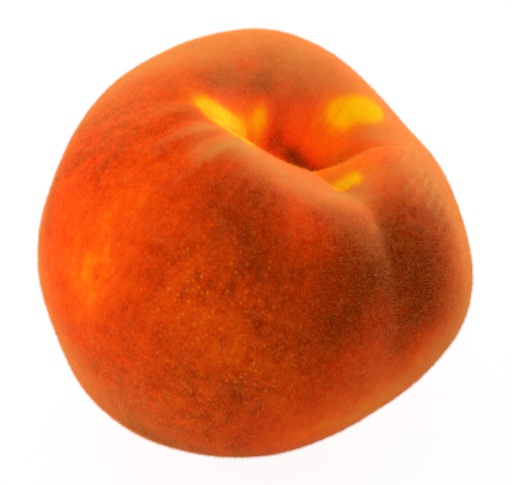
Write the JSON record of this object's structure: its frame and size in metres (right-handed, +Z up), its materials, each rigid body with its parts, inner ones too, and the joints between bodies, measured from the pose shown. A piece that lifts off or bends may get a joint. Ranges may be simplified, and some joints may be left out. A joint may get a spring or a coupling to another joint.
{
  "type": "peach",
  "caption": "Whole ripe peach with a deep stem cavity, a soft suture down one side and a small flat spot it rests on.",
  "frame": {"origin": "middle of the flat spot the peach rests on", "axes": "+Z up; the stalk axis leans 20 degrees off +Z towards 10 degrees below +X, and the suture faces 48 degrees below +X"},
  "size_m": [0.0781, 0.0776, 0.0713],
  "materials": {
    "skin": "matt, velvety skin covered in short pale fuzz"
  },
  "bodies": {
    "root": {"peach": "skin"}
  },
  "joints": []
}
